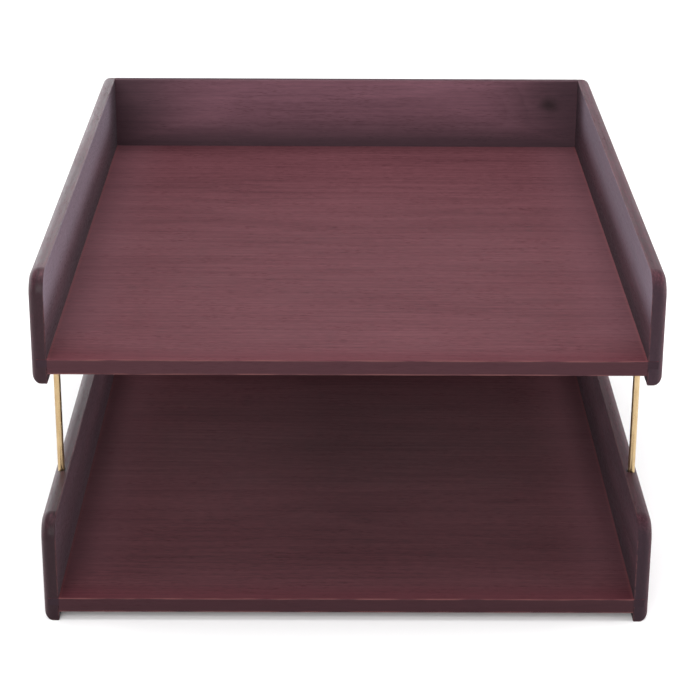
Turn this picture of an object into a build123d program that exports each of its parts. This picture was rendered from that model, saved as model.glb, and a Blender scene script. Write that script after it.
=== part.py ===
"""Two-tier letter tray: two open-front wooden trays, the upper one carried on four brass posts.

Each tray is two side boards, a back rail between them and a floor panel. The floor panel is let
into the side boards and the rail by a tongue along three edges, and two steel brads through each
side board hold the end of the back rail. The posts are pressed into the top edges of the lower
side boards, and stand loosely in sockets in the bottom edges of the upper ones, so that the upper
tray lifts straight off.

Units are millimetres. +Z is up, the open front faces -Y and X runs across the tray. The origin is
the middle of the footprint, on the surface that the lower tray stands on.
"""

import os

from build123d import *

# Tray: letter sheets (215.9 x 279.4) and folders lie between the side boards
clear_width = 245.0
depth = 311.0
side_thickness = 6.5
side_height = 47.0
rail_thickness = 6.5

# Floor panel, and the tongue that is left along its two sides and its back
floor_thickness = 6.4
foot_drop = 4.2
tongue_thickness = 3.4
side_tongue_length = 4.3
rail_tongue_length = 3.2

# Edge shapes
nose_radius = 10.0
roundover = 4.0
easing = 0.5

# Brass posts and their sockets
post_diameter = 3.0
post_gap = 62.5
post_setback = 52.0
post_chamfer = 0.3
lower_socket_depth = 20.0
upper_socket_depth = 6.0
sliding_clearance = 0.05
mouth_diameter = 4.2

# Steel brads that hold each end of a back rail
brad_diameter = 1.2
brad_length = 19.0
brad_point = 1.6
brad_head_diameter = 2.0
brad_head_thickness = 0.7
brad_cover = 0.8
brad_heights = {"low": 19.0, "high": 39.0}

# Derived places
inner_x = clear_width / 2
outer_x = inner_x + side_thickness
front_y = -depth / 2
rear_y = depth / 2
rail_front_y = rear_y - rail_thickness
rail_middle_y = rear_y - rail_thickness / 2
floor_top = foot_drop + floor_thickness
floor_middle = floor_top - tongue_thickness
post_x = inner_x + side_thickness / 2
post_y = depth / 2 - post_setback
tray_bases = {"lower": 0.0, "upper": side_height + post_gap}
hands = {"left": -1, "right": 1}


def finish(part, label):
    """Name a finished piece and write it as a STEP file of that name."""
    part.label = label
    export_step(part, f"parts/{label}.step")


def brad(hand, height):
    """A brad driven inwards through a side board, its head just under the board's outer face."""
    head_face = Plane((hand * (outer_x - brad_cover), rail_middle_y, height), z_dir=(-hand, 0, 0))
    with BuildPart() as nail:
        with BuildSketch(head_face):
            Circle(brad_head_diameter / 2)
        extrude(amount=brad_head_thickness)
        with BuildSketch(head_face):
            Circle(brad_diameter / 2)
        extrude(amount=brad_length - brad_point)
        with BuildSketch(head_face.offset(brad_length - brad_point)):
            Circle(brad_diameter / 2)
        extrude(amount=brad_point, taper=18)
    return nail.part


def side_board(hand, base, brads, socket_plane, socket_radius, socket_depth):
    """A side board with a rounded nose and outer edges, a floor panel groove and two post sockets."""
    outward = Axis.X if hand > 0 else -Axis.X
    with BuildPart() as board:
        with BuildSketch(Plane.YZ.offset(hand * inner_x)) as outline:
            with Locations((0, base + side_height / 2)):
                Rectangle(depth, side_height)
            fillet(outline.vertices().group_by(Axis.Y)[-1].sort_by(Axis.X)[0], nose_radius)
        extrude(amount=hand * side_thickness)
        rear_top_edge = board.edges().filter_by(Axis.X).group_by(Axis.Z)[-1].sort_by(Axis.Y)[-1]
        fillet([rear_top_edge, *board.faces().sort_by(outward)[-1].edges()], roundover)
        fillet(board.faces().sort_by(outward)[0].edges(), easing)

        # The groove runs out at the front, where the end of the tongue shows
        groove_end = rail_front_y + rail_tongue_length
        with BuildSketch(Plane.YZ.offset(hand * inner_x)):
            with Locations((front_y, base + floor_middle)):
                Rectangle(groove_end - front_y, tongue_thickness, align=(Align.MIN, Align.MIN))
        extrude(amount=hand * side_tongue_length, mode=Mode.SUBTRACT)

        # Post sockets, each with a slightly opened mouth
        with Locations(*[Plane((hand * post_x, y, socket_plane.origin.Z), z_dir=socket_plane.z_dir)
                         for y in (-post_y, post_y)]):
            CounterSinkHole(socket_radius, mouth_diameter / 2, depth=socket_depth, counter_sink_angle=90)

        for nail in brads:
            add(nail, mode=Mode.SUBTRACT)
    return board.part


def back_rail(base, brads):
    """The rail that closes the back, rounded over behind and grooved for the floor panel's tongue."""
    with BuildPart() as rail:
        with BuildSketch(Plane.XY.offset(base + foot_drop)):
            with Locations((0, rail_middle_y)):
                Rectangle(clear_width, rail_thickness)
        extrude(amount=side_height - foot_drop)
        fillet(rail.edges().filter_by(Axis.X).group_by(Axis.Z)[-1].sort_by(Axis.Y)[-1], roundover)
        fillet(rail.edges().filter_by(Axis.X).group_by(Axis.Z)[-1].sort_by(Axis.Y)[0], easing)
        with BuildSketch(Plane.XY.offset(base + floor_middle)):
            with Locations((0, rail_front_y)):
                Rectangle(clear_width, rail_tongue_length, align=(Align.CENTER, Align.MIN))
        extrude(amount=tongue_thickness, mode=Mode.SUBTRACT)
        for nail in brads:
            add(nail, mode=Mode.SUBTRACT)
    return rail.part


def floor_panel(base):
    """The panel that the sheets lie on, rebated below to leave a tongue along three edges."""
    with BuildPart() as panel:
        with BuildSketch(Plane.XY.offset(base + foot_drop)):
            with Locations((0, front_y)):
                Rectangle(clear_width, rail_front_y - front_y, align=(Align.CENTER, Align.MIN))
        extrude(amount=floor_thickness)
        with BuildSketch(Plane.XY.offset(base + floor_middle)):
            with Locations((0, front_y)):
                Rectangle(
                    clear_width + 2 * side_tongue_length,
                    rail_front_y + rail_tongue_length - front_y,
                    align=(Align.CENTER, Align.MIN),
                )
        extrude(amount=tongue_thickness)
        front_edges = panel.faces().sort_by(Axis.Y)[0].edges().filter_by(Axis.X).sort_by(Axis.Z)
        fillet(front_edges[-1], easing)
    return panel.part


def post(x, y):
    """A plain round post, from the bottom of its lower socket to the bottom of its upper one."""
    with BuildPart() as rod:
        with BuildSketch(Plane.XY.offset(side_height - lower_socket_depth)):
            with Locations((x, y)):
                Circle(post_diameter / 2)
        extrude(amount=lower_socket_depth + post_gap + upper_socket_depth)
        chamfer(rod.edges(), post_chamfer)
    return rod.part


os.makedirs("parts", exist_ok=True)

sockets = {
    "lower": (Plane.XY.offset(side_height), post_diameter / 2, lower_socket_depth),
    "upper": (
        Plane((0, 0, tray_bases["upper"]), z_dir=(0, 0, -1)),
        post_diameter / 2 + sliding_clearance,
        upper_socket_depth,
    ),
}

for tier, base in tray_bases.items():
    tier_brads = []
    for side, hand in hands.items():
        side_brads = []
        for place, height in brad_heights.items():
            side_brads.append(brad(hand, base + height))
            finish(side_brads[-1], f"{tier}_{side}_brad_{place}")
        finish(side_board(hand, base, side_brads, *sockets[tier]), f"{tier}_{side}_side")
        tier_brads += side_brads
    finish(back_rail(base, tier_brads), f"{tier}_back_rail")
    finish(floor_panel(base), f"{tier}_floor_panel")

for end, y in (("front", -post_y), ("rear", post_y)):
    for side, hand in hands.items():
        finish(post(hand * post_x, y), f"{end}_{side}_post")
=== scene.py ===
"""Looks for the two-tier letter tray: stained and lacquered mahogany boards, brass posts, white studio.

Every wooden board has a solid grain, worked out from its own place in the tree, so that the bands,
fibres and pores run through its faces and show as rings and dots on its end grain.
"""

import math
from collections import namedtuple
from itertools import product

import bpy
from mathutils import Matrix, Vector


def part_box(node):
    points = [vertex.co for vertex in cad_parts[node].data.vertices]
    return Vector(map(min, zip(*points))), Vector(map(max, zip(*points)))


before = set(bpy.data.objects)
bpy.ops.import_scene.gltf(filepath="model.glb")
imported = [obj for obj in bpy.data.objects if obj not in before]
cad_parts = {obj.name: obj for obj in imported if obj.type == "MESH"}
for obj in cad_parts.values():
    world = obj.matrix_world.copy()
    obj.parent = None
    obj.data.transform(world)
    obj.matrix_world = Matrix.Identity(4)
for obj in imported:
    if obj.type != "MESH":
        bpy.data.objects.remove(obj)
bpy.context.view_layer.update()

MM = 0.001
PER_MM = 1000.0

# Camera, from a fit of the tray's edges
CAMERA_PLACE = Vector((-0.0035, -0.9854, 0.4579))
CAMERA_PITCH = math.radians(21.87)
CAMERA_YAW = math.radians(0.31)
CAMERA_ROLL = math.radians(0.29)
CAMERA_LENS = 113.2
SENSOR_WIDTH = 36.0

# Studio floor. It glows a little near the tray and more further off, over distances in mm
FLOOR_SIZE = 14.0
FLOOR_ALBEDO = 0.88
FLOOR_ROUGHNESS = 0.9
FLOOR_SPECULAR = 0.1
FLOOR_GLOW = 0.06
FAR_GLOW = 0.60
FAR_GLOW_FROM = 2600.0
FLOOR_GLOW_WITHIN = 700.0

# Studio room. Its backdrop is bright behind the tray, a little to the left, and near the horizon
ROOM_COLOUR = (0.985, 0.985, 1.0)
ROOM_STRENGTH = 0.50
BACKDROP_STRENGTH = 2.8
BACKDROP_TURN = -0.45
BACKDROP_SPREAD = (0.95, 0.10)
BACKDROP_HEIGHT = (0.10, 0.75)

# Softboxes, in metres
Softbox = namedtuple("Softbox", "place target size radiance")
SOFTBOXES = {
    "key": Softbox((-0.35, -1.50, 0.90), (0, 0, 0.1), (1.1, 1.1), 5.0),
    "overhead": Softbox((0, 0.1, 1.9), (0, 0, 0.1), (1.7, 1.7), 3.0),
    "left_strip": Softbox((-1.0, 0.0, 0.24), (0, 0, 0.15), (1.2, 0.08), 9.0),
    "right_strip": Softbox((1.0, 0.0, 0.24), (0, 0, 0.15), (1.2, 0.08), 32.0),
}

# Stained wood, darkest to lightest, as linear colour
SIDE_TONES = ((0.014, 0.006, 0.009), (0.040, 0.015, 0.021), (0.110, 0.042, 0.056))
# The rails' tones are partly their own lighter stain and partly painted light, standing in for light bounced
# onto their inner faces
RAIL_LIT_TONES = ((0.062, 0.026, 0.036), (0.138, 0.060, 0.080), (0.212, 0.096, 0.124))
FLOOR_TONES = ((0.048, 0.015, 0.020), (0.098, 0.032, 0.040), (0.156, 0.056, 0.068))
TONE_PLACES = (0.0, 0.45, 1.0)

# Single tones of the wood
PORE_TONE = (0.040, 0.007, 0.010)
SIDE_END_TONE = (0.017, 0.006, 0.009)
DULL_END_TONE = (0.022, 0.013, 0.018)
FLOOR_EDGE_TONE = (0.038, 0.016, 0.020)
WORN_TONE = (0.200, 0.080, 0.075)
SEAM_TONE = (0.240, 0.070, 0.070)
# Painted shade: a darker, redder strip along a floor panel's front
FLOOR_FRONT_SHADE_TONE = (0.085, 0.014, 0.022)
# Painted light: paler margins of a floor panel beside the side boards
FLOOR_MARGIN_LIGHT_TONE = (0.180, 0.085, 0.105)
# Painted sheen: a pale lavender band near the top of the sides' inner faces, standing in for a reflection
PAINTED_SHEEN_TONE = (0.205, 0.170, 0.210)
# Painted shade in the inside corners: above the floor panels and where sides and rails meet
CORNER_SHADE_TONE = (0.018, 0.011, 0.015)
FILLER_TONE = (0.030, 0.013, 0.014)
# Painted shade: a near-black ring where each post goes into its socket
SOCKET_SHADE_TONE = (0.008, 0.004, 0.005)
KNOT_TONE = (0.013, 0.007, 0.008)
# Darkens a rail's back and top so that only its inner face keeps the painted light; over the top it is
# painted shade that dims its highlight
RAIL_OUTSIDE_SHADE_TINT = (0.32, 0.29, 0.31)

# Brass and steel wire. Each noise has its features per mm along X, Y and Z, and each stop is a place
# on the ramp and a colour
BRASS_STOPS = ((0.15, (0.33, 0.215, 0.105)), (0.5, (0.46, 0.335, 0.185)), (0.9, (0.60, 0.46, 0.29)))
BRASS_DRAWN = (2.2, 2.2, 0.09)
BRASS_TARNISH = (0.4, 0.4, 0.12)
BRASS_DRAWN_WEIGHT = 0.55
BRASS_TARNISH_WEIGHT = 0.6
BRASS_TONE_OFFSET = -0.1
BRASS_ROUGHNESS = 0.20
BRASS_TARNISH_ROUGHNESS = 0.16
BRASS_BUMP = 0.02 * MM
STEEL_STOPS = ((0.3, (0.36, 0.36, 0.37)), (0.7, (0.62, 0.62, 0.64)))
STEEL_DRAWN = (0.15, 6.0, 6.0)
STEEL_ROUGHNESS = 0.2
STEEL_DRAWN_ROUGHNESS = 0.2
STEEL_BUMP = 0.01 * MM

# The boards: the tray's axes along the fibres, through the board and across its width; where the tree's
# heart lies from the board's middle, in mm through and across; a seed for its patterns; how light the stain
# came out, which on the lower tier is partly painted shade under the upper tray; and the finish
Timber = namedtuple("Timber", "grain heart seed light finish")
BOARDS = {
    "upper_left_side": Timber("YXZ", (-74, 9), 1.3, 1.0, "glossy_side"),
    "upper_right_side": Timber("YXZ", (66, -12), 2.9, 1.15, "dull_side"),
    "upper_back_rail": Timber("XYZ", (58, 6), 4.1, 1.0, "rail"),
    "upper_floor_panel": Timber("XZY", (-96, 40), 11.4, 1.0, "floor"),
    # The lower tier's darker boards are partly painted shade under the upper tray
    "lower_left_side": Timber("YXZ", (-61, -7), 5.7, 0.8, "glossy_side"),
    "lower_right_side": Timber("YXZ", (82, 14), 7.2, 0.95, "dull_side"),
    "lower_back_rail": Timber("XYZ", (71, -9), 8.8, 1.0, "rail"),
    "lower_floor_panel": Timber("XZY", (-88, -65), 13.9, 0.8, "floor"),
}

# Stain and lacquer. End_tone is what sawn faces that look along Y go towards, by end_stain; a rail's
# faces that look that way aren't sawn
FINISHES = {
    "glossy_side": {
        "tones": SIDE_TONES, "end_tone": SIDE_END_TONE, "end_stain": 0.85,
        "roughness": 0.40, "specular": 0.14, "sheen": 0.05,
        "wear": 0.18, "pores": 0.75, "fleck": 0.9, "bump": 0.05 * MM,
    },
    "dull_side": {
        "tones": SIDE_TONES, "end_tone": DULL_END_TONE, "end_stain": 0.85,
        "roughness": 0.56, "specular": 0.09, "sheen": 0.015,
        "wear": 0.22, "pores": 0.80, "fleck": 0.9, "bump": 0.06 * MM,
    },
    "rail": {
        "tones": RAIL_LIT_TONES, "end_tone": SIDE_END_TONE, "end_stain": 0.0,
        "roughness": 0.50, "specular": 0.24, "sheen": 0.03,
        "wear": 0.08, "pores": 0.40, "fleck": 0.5, "bump": 0.03 * MM,
    },
    "floor": {
        "tones": FLOOR_TONES, "end_tone": FLOOR_EDGE_TONE, "end_stain": 0.85,
        "roughness": 0.72, "specular": 0.08, "sheen": 0.0,
        "wear": 0.45, "pores": 0.60, "fleck": 1.0, "bump": 0.04 * MM,
    },
}
LACQUER_IOR = 1.5
SHEEN_TINT = (0.95, 0.86, 1.0)
SHEEN_ROUGHNESS = 0.35
LEAST_ROUGHNESS = 0.32

# Noise in the wood: length along the fibres and breadth across them in mm, a shift that keeps each
# pattern apart from the others, and the noise's own detail and roughness. The seeds move the boards
# SEED_SPACING features apart
SEED_SPACING = 100.0
Pattern = namedtuple("Pattern", "length breadth shift detail roughness")
PATTERNS = {
    "waver": Pattern(130, 26, 3.7, 2.0, 0.5),
    "streak": Pattern(85, 1.3, 1.9, 4.0, 0.62),
    "cloud": Pattern(95, 22, 5.3, 3.0, 0.5),
    "fleck": Pattern(5.5, 0.75, 7.7, 3.0, 0.5),
    "pore_patch": Pattern(30, 6, 9.4, 2.0, 0.5),
    "wear_and_sheen": Pattern(14, 1.2, 6.6, 3.0, 0.5),
    "lacquer": Pattern(40, 18, 4.4, 3.0, 0.5),
    "ragged": Pattern(9, 4, 8.1, 2.0, 0.5),
}

# Growth rings: width and waver in mm, the heart's drift per mm of length, and the shade across one ring
RING_WIDTH = 2.9
RING_WAVER = 11.0
HEART_DRIFT = 0.035
RING_SHADES = ((0.0, 0.30), (0.12, 0.0), (0.72, 0.62), (0.93, 1.0), (1.0, 0.30))

# How much each pattern lightens and darkens the wood about its middle; the flecks' weight is in the
# finish
MIDDLE = 0.5
TONE_WEIGHTS = {"streak": 0.65, "cloud": 0.45, "ring": -0.12}

# Pores: length, breadth and shift of one cell, how wide a pore is in it, and where pores are dense
PORE_CELL = (5.5, 0.5, 2.3)
PORE_EDGE = (0.16, 0.34)
DENSE_PORES = (0.62, 0.40)

# Lacquer: what the patterns add to the finish's roughness
LACQUER_OFFSET = -0.245
LACQUER_PATCHES = 0.14
LACQUER_ON_FLECKS = 0.35
LACQUER_ON_PORES = 0.22
LACQUER_OUTSIDE = 0.30

# Height of the surface in units of the finish's bump
PORE_HEIGHT = -1.0
STREAK_HEIGHT = 0.45
FLECK_HEIGHT = 1.2

# Masks by the surface's direction: the part of its normal at which each is full, and where it ends
INWARD = (0.95, 0.5)
UPWARD = (0.9, 0.5)
FORWARD = (-0.9, -0.5)
SAWN = (0.95, 0.45)
RAIL_OUTSIDE = (-0.5, -0.9)

# Floor panels: how strong each painted shade, painted light and stain is, and the mm over which it fades
PAINTED_FRONT_SHADE = 0.40
PAINTED_FRONT_SHADE_FADE = (2.0, 16.0)
PAINTED_MARGIN_LIGHT = 0.24
PAINTED_MARGIN_LIGHT_FADE = (0.0, 34.0)
PAINTED_MARGIN_LIGHT_BEHIND_FRONT = (40.0, 8.0)
SEAM = 0.22
SEAM_FADE = (0.3, 1.5)
TONGUE_END = 0.85
TONGUE_END_FADE = (-0.1, 0.2)

# Inner faces of the sides and rails: painted shade above the floor and in the corners, and a painted sheen
# in the band near the top of the upper sides, faintly on the lower ones, all in mm
PAINTED_SHADE_LOW = 0.75
PAINTED_SHADE_LOW_FADE = (0.0, 20.0)
PAINTED_SHADE_CORNER = 0.70
CORNER_REACH = {"side": 44.0, "rail": 58.0}
PAINTED_SHEEN = {"upper": 0.60, "lower": 0.05}
PAINTED_SHEEN_BELOW_TOP = 8.0
PAINTED_SHEEN_ABOVE_FLOOR = 10.0
PAINTED_SHEEN_FROM_CORNER = 4.0

# Painted shade round the posts, from a post's surface and past its ends, in mm
SOCKET_SHADE = 0.85
SOCKET_RING = (0.25, 1.1)
SOCKET_ENDS = (1.0, 3.0)

# Arrises that sanding cut through, in mm from the edge, and where along it. A tongue isn't worn
WORN_FADE = (0.15, 0.75)
WORN_PATCHES = (0.62, 0.34)
UNWORN_TONGUE = 0.3

# The knot: its place as a share of its rail's length and height, and sizes in mm
KNOT_BOARD = "upper_back_rail"
KNOT_ALONG = 0.942
KNOT_UP = 0.69
KNOT_SHAPE = (0.72, 0.0, 1.0)
KNOT_STAIN = 0.72
KNOT_RAGGED = 3.0
KNOT_FADE = (2.2, 7.2)
KNOT_REACH = 26.0
KNOT_SWELL = 6.0

# Filler over the brads' heads, in mm from its middle
FILLER_STAIN = 0.8
FILLER_FADE = (1.05, 1.35)


class Graph:
    """The node tree of a material or world, with short calls for the nodes that the looks share."""

    def __init__(self, owner, shader="Principled BSDF"):
        owner.use_nodes = True
        self.owner = owner
        self.tree = owner.node_tree
        self.shader = self.tree.nodes[shader]

    def plug(self, socket, value):
        """Links a socket to another one, or sets it to a number, vector or colour."""
        if isinstance(value, bpy.types.NodeSocket):
            self.tree.links.new(value, socket)
        elif isinstance(value, tuple) and len(value) == 3 and socket.type == "RGBA":
            socket.default_value = (*value, 1.0)
        else:
            socket.default_value = value

    def shade(self, **values):
        """Plugs values into the shader's sockets, with _ for the spaces in their names."""
        for name, value in values.items():
            self.plug(self.shader.inputs[name.replace("_", " ")], value)

    def node(self, kind, **settings):
        made = self.tree.nodes.new(kind)
        for name, value in settings.items():
            setattr(made, name, value)
        return made

    def math(self, operation, a, b=0.0, c=0.0):
        made = self.node("ShaderNodeMath", operation=operation)
        for socket, value in zip(made.inputs, (a, b, c)):
            self.plug(socket, value)
        return made.outputs[0]

    def times(self, first, *others):
        """The product of two or more values."""
        for other in others:
            first = self.math("MULTIPLY", first, other)
        return first

    def hypotenuse(self, a, b):
        return self.math("SQRT", self.math("MULTIPLY_ADD", a, a, self.times(b, b)))

    def vector(self, x, y, z):
        made = self.node("ShaderNodeCombineXYZ")
        for socket, value in zip(made.inputs, (x, y, z)):
            self.plug(socket, value)
        return made.outputs[0]

    def vector_math(self, operation, a, b, output="Vector"):
        made = self.node("ShaderNodeVectorMath", operation=operation)
        self.plug(made.inputs[0], a)
        self.plug(made.inputs[1], b)
        return made.outputs[output]

    def split(self, vector):
        made = self.node("ShaderNodeSeparateXYZ")
        self.plug(made.inputs[0], vector)
        return made.outputs[:]

    def noise(self, vector, detail=2.0, roughness=0.5):
        made = self.node("ShaderNodeTexNoise")
        self.plug(made.inputs["Vector"], vector)
        made.inputs["Scale"].default_value = 1.0
        made.inputs["Detail"].default_value = detail
        made.inputs["Roughness"].default_value = roughness
        return made.outputs[0]

    def cells(self, vector):
        made = self.node("ShaderNodeTexVoronoi")
        self.plug(made.inputs["Vector"], vector)
        made.inputs["Scale"].default_value = 1.0
        return made.outputs["Distance"]

    def fade(self, value, start, end):
        """1 where value is at start and beyond, 0 where it is at end and beyond, smooth between."""
        made = self.node("ShaderNodeMapRange", interpolation_type="SMOOTHSTEP")
        self.plug(made.inputs["Value"], value)
        for name, number in (("From Min", start), ("From Max", end), ("To Min", 1.0), ("To Max", 0.0)):
            made.inputs[name].default_value = number
        return made.outputs[0]

    def ramp(self, value, stops):
        made = self.node("ShaderNodeValToRGB")
        self.plug(made.inputs[0], value)
        elements = made.color_ramp.elements
        while len(elements) < len(stops):
            elements.new(0.5)
        for element, (place, colour) in zip(elements, stops):
            element.position = place
            element.color = (*colour, 1.0)
        return made.outputs[0]

    def blend(self, factor, a, b, kind="MIX"):
        made = self.node("ShaderNodeMix", data_type="RGBA", blend_type=kind)
        for name, value in (("Factor_Float", factor), ("A_Color", a), ("B_Color", b)):
            self.plug(next(s for s in made.inputs if s.identifier == name), value)
        return next(s for s in made.outputs if s.identifier == "Result_Color")

    def tint_towards(self, colour, tone, strength, *masks):
        """The colour, blended towards a tone where every mask is 1: used for the wood's stains and for its
        painted light and shade.
        """
        return self.blend(self.times(strength, *masks), colour, tone)

    def bump(self, height, depth):
        made = self.node("ShaderNodeBump")
        self.plug(made.inputs["Height"], height)
        made.inputs["Distance"].default_value = depth
        return made.outputs[0]

    def place(self):
        """The surface point in millimetres, in the tray's frame."""
        made = self.node("ShaderNodeVectorMath", operation="SCALE")
        self.plug(made.inputs[0], self.node("ShaderNodeTexCoord").outputs["Object"])
        made.inputs["Scale"].default_value = PER_MM
        return made.outputs[0]


def box_in_mm(name):
    """A node's lowest and highest corners at rest."""
    low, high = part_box(name)
    return low * PER_MM, high * PER_MM


class Board(Graph):
    """The node tree of a wooden board's material, with the board's places and directions in mm."""

    def __init__(self, name):
        super().__init__(bpy.data.materials.new(name))
        self.tier, self.side, self.kind = name.split("_")
        self.facts = BOARDS[name]
        self.finish = FINISHES[self.facts.finish]
        self.seed = self.facts.seed * SEED_SPACING
        self.low, self.high = box_in_mm(name)
        self.point = self.place()
        self.x, self.y, self.z = self.split(self.point)
        normal = self.node("ShaderNodeTexCoord").outputs["Normal"]
        self.normal_x, self.normal_y, self.normal_z = self.split(normal)

        middle = (self.low + self.high) / 2
        offsets = {}
        for letter, coordinate, centre in zip("XYZ", (self.x, self.y, self.z), middle):
            offsets[letter] = self.math("SUBTRACT", coordinate, centre)
        self.along, self.thick, self.wide = (offsets[letter] for letter in self.facts.grain)

    def stretched(self, length, breadth, shift):
        """Coordinates in which a feature of that length and breadth is one unit."""
        return self.vector(
            self.math("MULTIPLY_ADD", self.along, 1 / length, self.seed + shift),
            self.math("MULTIPLY_ADD", self.thick, 1 / breadth, shift),
            self.math("MULTIPLY_ADD", self.wide, 1 / breadth, self.seed),
        )

    def pattern(self, name):
        """One of the noise patterns in the wood."""
        wanted = PATTERNS[name]
        place = self.stretched(wanted.length, wanted.breadth, wanted.shift)
        return self.noise(place, wanted.detail, wanted.roughness)

    def edge_distance(self):
        """Distance from the surface point to the nearest edge of the board's box."""
        gaps = []
        for coordinate, low, high in zip((self.x, self.y, self.z), self.low, self.high):
            offset = self.math("ABSOLUTE", self.math("SUBTRACT", coordinate, (low + high) / 2))
            gaps.append(self.math("SUBTRACT", (high - low) / 2, offset))
        smaller = self.math("MINIMUM", gaps[0], gaps[1])
        larger = self.math("MAXIMUM", gaps[0], gaps[1])
        return self.math("MAXIMUM", smaller, self.math("MINIMUM", larger, gaps[2]))

    def inner_x(self):
        """How far the inner faces of the tier's side boards are from the middle of the tray."""
        return box_in_mm(f"{self.tier}_back_rail")[1].x

    def outside_of_rail(self):
        """1 on a rail's back and top, 0 on its inner face."""
        return self.fade(self.normal_y, *RAIL_OUTSIDE)


def growth_rings(board, knot_distance):
    """Rings round a heart that drifts a little along the board, and swell round its knot, if any."""
    heart_thick, heart_wide = board.facts.heart
    drift = board.times(board.along, HEART_DRIFT)
    from_heart_thick = board.math("SUBTRACT", board.thick, heart_thick)
    from_heart_wide = board.math("SUBTRACT", board.math("ADD", board.wide, drift), heart_wide)
    radius = board.hypotenuse(from_heart_wide, from_heart_thick)
    radius = board.math("MULTIPLY_ADD", board.pattern("waver"), RING_WAVER, radius)
    if knot_distance is not None:
        swell = board.fade(knot_distance, 0.0, KNOT_REACH)
        radius = board.math("MULTIPLY_ADD", swell, KNOT_SWELL, radius)
    across = board.math("FRACT", board.math("DIVIDE", radius, RING_WIDTH))
    return board.ramp(across, [(place, (shade,) * 3) for place, shade in RING_SHADES])


def grain_colour(board, patterns):
    """The stained wood's own tones, from its patterns."""
    light = board.facts.light
    tone = MIDDLE
    for name, weight in (*TONE_WEIGHTS.items(), ("fleck", board.finish["fleck"])):
        centred = board.math("SUBTRACT", patterns[name], MIDDLE)
        tone = board.math("MULTIPLY_ADD", centred, weight, tone)
    stops = []
    for place, colour in zip(TONE_PLACES, board.finish["tones"]):
        stops.append((place, tuple(light * channel for channel in colour)))
    return board.ramp(tone, stops)


def open_pores(board):
    """1 in a pore and 0 beside it."""
    pore = board.fade(board.cells(board.stretched(*PORE_CELL)), *PORE_EDGE)
    return board.times(pore, board.fade(board.pattern("pore_patch"), *DENSE_PORES))


def end_stain(board, colour):
    """Sawn ends and front edges drink more stain."""
    end_tone = tuple(board.facts.light * channel for channel in board.finish["end_tone"])
    sawn = board.fade(board.math("ABSOLUTE", board.normal_y), *SAWN)
    return board.tint_towards(colour, end_tone, board.finish["end_stain"], sawn)


def floor_panel_stain_light_and_shade(board, colour):
    """A panel's painted shade along its front, painted light on its margins by the sides, lighter seams, and
    its tongue's ends, stained with the sides.
    """
    from_side = board.math("SUBTRACT", board.inner_x(), board.math("ABSOLUTE", board.x))
    behind_front = board.math("SUBTRACT", board.y, board.low.y)
    upward = board.fade(board.normal_z, *UPWARD)
    forward = board.fade(board.normal_y, *FORWARD)

    # Painted shade along the panel's front
    front_shade = board.fade(behind_front, *PAINTED_FRONT_SHADE_FADE)
    colour = board.tint_towards(colour, FLOOR_FRONT_SHADE_TONE, PAINTED_FRONT_SHADE, front_shade, upward)
    # Painted light on the margins beside the sides
    margin_light = board.times(board.fade(from_side, *PAINTED_MARGIN_LIGHT_FADE), board.fade(behind_front, *PAINTED_MARGIN_LIGHT_BEHIND_FRONT))
    colour = board.tint_towards(colour, FLOOR_MARGIN_LIGHT_TONE, PAINTED_MARGIN_LIGHT, margin_light, upward)
    colour = board.tint_towards(colour, SEAM_TONE, SEAM, board.fade(from_side, *SEAM_FADE), upward)
    return board.tint_towards(colour, DULL_END_TONE, TONGUE_END, board.fade(from_side, *TONGUE_END_FADE), forward)


def painted_corner_shade(board, inside, from_corner, reach, colour):
    """Painted shade on a side's or rail's inner face, darker above the floor and in the corners."""
    above_floor = board.math("SUBTRACT", board.z, box_in_mm(f"{board.tier}_floor_panel")[1].z)
    # Painted shade: darker towards the floor and into the corners
    low = board.times(board.fade(above_floor, *PAINTED_SHADE_LOW_FADE), PAINTED_SHADE_LOW)
    corner = board.times(board.fade(from_corner, 0.0, reach), PAINTED_SHADE_CORNER)
    return board.tint_towards(colour, CORNER_SHADE_TONE, board.math("MAXIMUM", low, corner), inside)


def side_sheen_and_shade(board, colour):
    """A side board's inner face: a painted sheen that makes it pale near the top, with painted shade below
    and behind.
    """
    inward = 1.0 if board.side == "left" else -1.0
    inside = board.fade(board.times(board.normal_x, inward), *INWARD)
    reach = CORNER_REACH["side"]
    from_corner = board.math("SUBTRACT", box_in_mm(f"{board.tier}_back_rail")[0].y, board.y)

    floor_top = box_in_mm(f"{board.tier}_floor_panel")[1].z
    above_floor = board.math("SUBTRACT", board.z, floor_top)
    # Painted sheen on the inner face, fading out towards the floor and towards the back corner
    wear_and_sheen = board.fade(above_floor, board.high.z - floor_top - PAINTED_SHEEN_BELOW_TOP, PAINTED_SHEEN_ABOVE_FLOOR)
    ahead = board.fade(from_corner, reach, PAINTED_SHEEN_FROM_CORNER)
    colour = board.tint_towards(colour, PAINTED_SHEEN_TONE, PAINTED_SHEEN[board.tier], wear_and_sheen, ahead, inside)
    return painted_corner_shade(board, inside, from_corner, reach, colour)


def rail_light_and_shade(board, colour):
    """A rail's inner face, which keeps the painted light, with painted shade in its corners, and its back
    and top darkened.
    """
    # Painted light stays on the inner face, and the back and top are darkened
    colour = board.blend(board.outside_of_rail(), colour, RAIL_OUTSIDE_SHADE_TINT, "MULTIPLY")
    inside = board.fade(board.times(board.normal_y, -1.0), *INWARD)
    from_corner = board.math("SUBTRACT", board.inner_x(), board.math("ABSOLUTE", board.x))
    return painted_corner_shade(board, inside, from_corner, CORNER_REACH["rail"], colour)


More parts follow.
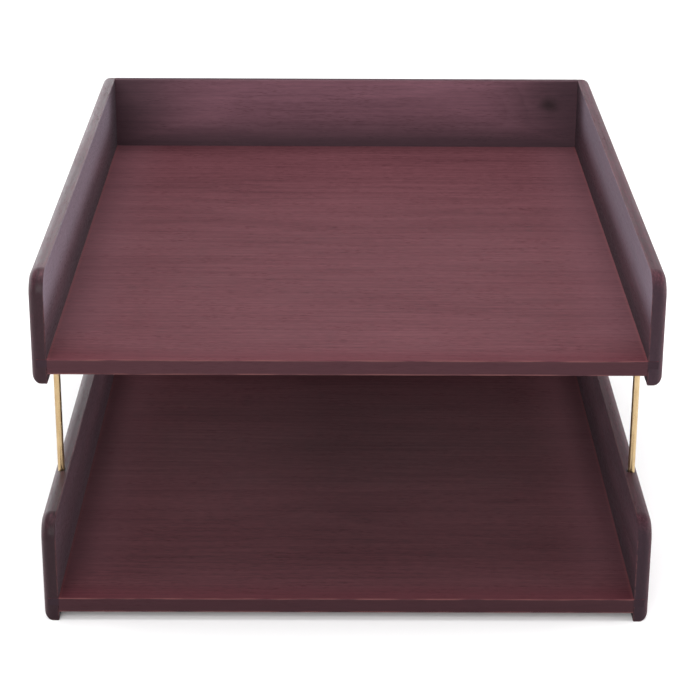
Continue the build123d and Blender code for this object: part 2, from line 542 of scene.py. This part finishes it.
def socket_shade(board, colour):
    """Painted shade in a dark ring round the sockets that a side board's posts stand in."""
    for end in ("front", "rear"):
        low, high = box_in_mm(f"{end}_{board.side}_post")
        middle = (low + high) / 2
        radius = (high.x - low.x) / 2
        apart = board.hypotenuse(board.math("SUBTRACT", board.x, middle.x),
                                 board.math("SUBTRACT", board.y, middle.y))
        ring = board.fade(apart, *(radius + reach for reach in SOCKET_RING))
        below_top = board.fade(board.z, *(high.z + past for past in SOCKET_ENDS))
        above_bottom = board.fade(board.z, *(low.z - past for past in SOCKET_ENDS))
        colour = board.tint_towards(colour, SOCKET_SHADE_TONE, SOCKET_SHADE, ring, below_top, above_bottom)
    return colour


def worn_arrises(board, colour):
    """Bare wood along the arrises, where sanding cut through the stain."""
    worn = board.times(board.fade(board.edge_distance(), *WORN_FADE),
                       board.fade(board.pattern("wear_and_sheen"), *WORN_PATCHES))
    if board.facts.finish == "floor":
        inner_x = board.inner_x()
        off_tongue = board.fade(board.math("ABSOLUTE", board.x), inner_x - UNWORN_TONGUE, inner_x)
        worn = board.times(worn, off_tongue)
    return board.tint_towards(colour, WORN_TONE, board.finish["wear"], worn)


def filler_stain(board, colour):
    """The filler over a side board's brads, on its outer face."""
    outer_x = board.low.x if board.side == "left" else board.high.x
    for height in ("low", "high"):
        brad_low, brad_high = box_in_mm(f"{board.tier}_{board.side}_brad_{height}")
        middle = (brad_low + brad_high) / 2
        spot = Vector((outer_x, middle.y, middle.z))
        apart = board.vector_math("DISTANCE", board.point, spot, "Value")
        colour = board.tint_towards(colour, FILLER_TONE, FILLER_STAIN, board.fade(apart, *FILLER_FADE))
    return colour


def distance_from_knot(board):
    """Distance from the middle of the rail's knot, less along the fibres, so that it is drawn out."""
    size = board.high - board.low
    centre = Vector((board.low.x + KNOT_ALONG * size.x, board.low.y, board.low.z + KNOT_UP * size.z))
    offset = board.vector_math("MULTIPLY", board.vector_math("SUBTRACT", board.point, centre), KNOT_SHAPE)
    return board.vector_math("LENGTH", offset, (0.0, 0.0, 0.0), "Value")


def knot_stain(board, knot_distance, colour):
    """The knot's dark middle, with a ragged edge."""
    ragged = board.math("MULTIPLY_ADD", board.pattern("ragged"), KNOT_RAGGED, knot_distance)
    return board.tint_towards(colour, KNOT_TONE, KNOT_STAIN, board.fade(ragged, *KNOT_FADE))


def lacquer_roughness(board, patterns):
    """Satin lacquer, duller in patches, on flecks and in pores, and on a rail's back and top."""
    shares = [
        (board.pattern("lacquer"), LACQUER_PATCHES),
        (patterns["fleck"], LACQUER_ON_FLECKS),
        (patterns["pore"], LACQUER_ON_PORES),
    ]
    if board.kind == "rail":
        shares.append((board.outside_of_rail(), LACQUER_OUTSIDE))
    roughness = board.finish["roughness"] + LACQUER_OFFSET
    for pattern, amount in shares:
        roughness = board.math("MULTIPLY_ADD", pattern, amount, roughness)
    return board.math("MAXIMUM", roughness, LEAST_ROUGHNESS)


def surface_bump(board, patterns):
    """Fibres that stand up a little, and pores that sink in."""
    height = board.times(patterns["streak"], STREAK_HEIGHT)
    height = board.math("MULTIPLY_ADD", patterns["pore"], PORE_HEIGHT, height)
    height = board.math("MULTIPLY_ADD", patterns["fleck"], FLECK_HEIGHT, height)
    return board.bump(height, board.finish["bump"])


def wood(name):
    """A board's stained wood under satin lacquer, with solid rings, fibres, open pores and worn arrises."""
    board = Board(name)
    finish = board.finish
    knot_distance = distance_from_knot(board) if name == KNOT_BOARD else None
    patterns = {pattern: board.pattern(pattern) for pattern in ("streak", "cloud", "fleck")}
    patterns["ring"] = growth_rings(board, knot_distance)
    patterns["pore"] = open_pores(board)

    colour = grain_colour(board, patterns)
    colour = board.tint_towards(colour, PORE_TONE, finish["pores"], patterns["pore"])
    colour = end_stain(board, colour)
    # Painted sheen, painted light and painted shade on the sides, sockets, rails and floor panels
    if board.kind == "side":
        colour = side_sheen_and_shade(board, colour)
        colour = socket_shade(board, colour)
    elif board.kind == "rail":
        colour = rail_light_and_shade(board, colour)
    else:
        colour = floor_panel_stain_light_and_shade(board, colour)
    colour = worn_arrises(board, colour)
    if knot_distance is not None:
        colour = knot_stain(board, knot_distance, colour)
    if board.kind == "side":
        colour = filler_stain(board, colour)

    board.shade(
        Base_Color=colour,
        Roughness=lacquer_roughness(board, patterns),
        Normal=surface_bump(board, patterns),
        IOR=LACQUER_IOR,
        Specular_IOR_Level=finish["specular"],
        Sheen_Weight=finish["sheen"],
        Sheen_Roughness=SHEEN_ROUGHNESS,
        Sheen_Tint=SHEEN_TINT,
    )
    return board.owner


def brass():
    """Lacquered brass wire: a pale gold metal with fine drawn rings and faint tarnish."""
    graph = Graph(bpy.data.materials.new("post_brass_look"))
    place = graph.place()
    drawn = graph.noise(graph.vector_math("MULTIPLY", place, BRASS_DRAWN), detail=4.0, roughness=0.6)
    tarnish = graph.noise(graph.vector_math("MULTIPLY", place, BRASS_TARNISH), detail=3.0)
    tone = graph.math("MULTIPLY_ADD", tarnish, BRASS_TARNISH_WEIGHT, BRASS_TONE_OFFSET)
    tone = graph.math("MULTIPLY_ADD", drawn, BRASS_DRAWN_WEIGHT, tone)
    graph.shade(
        Base_Color=graph.ramp(tone, BRASS_STOPS),
        Roughness=graph.math("MULTIPLY_ADD", tarnish, BRASS_TARNISH_ROUGHNESS, BRASS_ROUGHNESS),
        Normal=graph.bump(drawn, BRASS_BUMP),
        Metallic=1.0,
    )
    return graph.owner


def steel():
    """Bright drawn steel wire, with lengthwise scratches."""
    graph = Graph(bpy.data.materials.new("brad_steel_look"))
    drawn = graph.noise(graph.vector_math("MULTIPLY", graph.place(), STEEL_DRAWN), detail=4.0)
    graph.shade(
        Base_Color=graph.ramp(drawn, STEEL_STOPS),
        Roughness=graph.math("MULTIPLY_ADD", drawn, STEEL_DRAWN_ROUGHNESS, STEEL_ROUGHNESS),
        Normal=graph.bump(drawn, STEEL_BUMP),
        Metallic=1.0,
    )
    return graph.owner


def paint(name, material):
    """Gives a CAD node its one finished material."""
    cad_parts[name].material_slots[0].material = material


def finish_tray():
    """Every node's material."""
    for name in BOARDS:
        paint(name, wood(name))
    post_look = brass()
    for end, side in product(("front", "rear"), ("left", "right")):
        paint(f"{end}_{side}_post", post_look)
    brad_look = steel()
    for tier, side, height in product(("lower", "upper"), ("left", "right"), ("low", "high")):
        paint(f"{tier}_{side}_brad_{height}", brad_look)


def studio_floor():
    """A wide, plain, pale floor at the height that the tray stands on, lit up far from the tray."""
    half = FLOOR_SIZE / 2
    mesh = bpy.data.meshes.new("studio_floor")
    corners = [(-half, -half, 0), (half, -half, 0), (half, half, 0), (-half, half, 0)]
    mesh.from_pydata(corners, [], [(0, 1, 2, 3)])
    floor = bpy.data.objects.new("studio_floor", mesh)
    bpy.context.scene.collection.objects.link(floor)
    graph = Graph(bpy.data.materials.new("studio_floor_look"))
    x, y, _ = graph.split(graph.place())
    far = graph.fade(graph.hypotenuse(x, y), FAR_GLOW_FROM, FLOOR_GLOW_WITHIN)
    graph.shade(
        Base_Color=(FLOOR_ALBEDO,) * 3,
        Roughness=FLOOR_ROUGHNESS,
        Specular_IOR_Level=FLOOR_SPECULAR,
        Emission_Color=(1.0, 1.0, 1.0),
        Emission_Strength=graph.math("MULTIPLY_ADD", far, FAR_GLOW - FLOOR_GLOW, FLOOR_GLOW),
    )
    mesh.materials.append(graph.owner)


def softbox(name, place, target, size, radiance):
    """A rectangular diffuse lamp at a place, facing a target, that the camera doesn't see."""
    data = bpy.data.lights.new(name, "AREA")
    data.shape = "RECTANGLE"
    data.size, data.size_y = size
    data.energy = radiance * math.pi * size[0] * size[1]
    lamp = bpy.data.objects.new(name, data)
    lamp.location = place
    lamp.rotation_euler = (Vector(target) - Vector(place)).to_track_quat("-Z", "Y").to_euler()
    lamp.visible_camera = False
    bpy.context.scene.collection.objects.link(lamp)


def studio_light():
    """An even white room, with a bright low backdrop behind the tray, and soft lamps round it."""
    world = bpy.data.worlds.new("studio")
    bpy.context.scene.world = world
    graph = Graph(world, "Background")
    x, y, z = graph.split(graph.node("ShaderNodeTexCoord").outputs["Generated"])
    behind = graph.fade(graph.math("MULTIPLY_ADD", x, BACKDROP_TURN, y), *BACKDROP_SPREAD)
    low = graph.fade(z, *BACKDROP_HEIGHT)
    graph.shade(
        Color=ROOM_COLOUR,
        Strength=graph.math("MULTIPLY_ADD", graph.times(behind, low),
                            BACKDROP_STRENGTH - ROOM_STRENGTH, ROOM_STRENGTH),
    )
    for name, facts in SOFTBOXES.items():
        softbox(name, *facts)


def camera():
    """The photograph's viewpoint."""
    data = bpy.data.cameras.new("camera")
    data.lens = CAMERA_LENS
    data.sensor_width = SENSOR_WIDTH
    made = bpy.data.objects.new("camera", data)
    bpy.context.scene.collection.objects.link(made)
    turn = (Matrix.Rotation(-CAMERA_YAW, 4, "Z")
            @ Matrix.Rotation(math.pi / 2 - CAMERA_PITCH, 4, "X")
            @ Matrix.Rotation(CAMERA_ROLL, 4, "Z"))
    made.matrix_world = Matrix.Translation(CAMERA_PLACE) @ turn
    bpy.context.scene.camera = made


camera()
studio_floor()
studio_light()
finish_tray()
bpy.context.scene.view_settings.view_transform = "Standard"
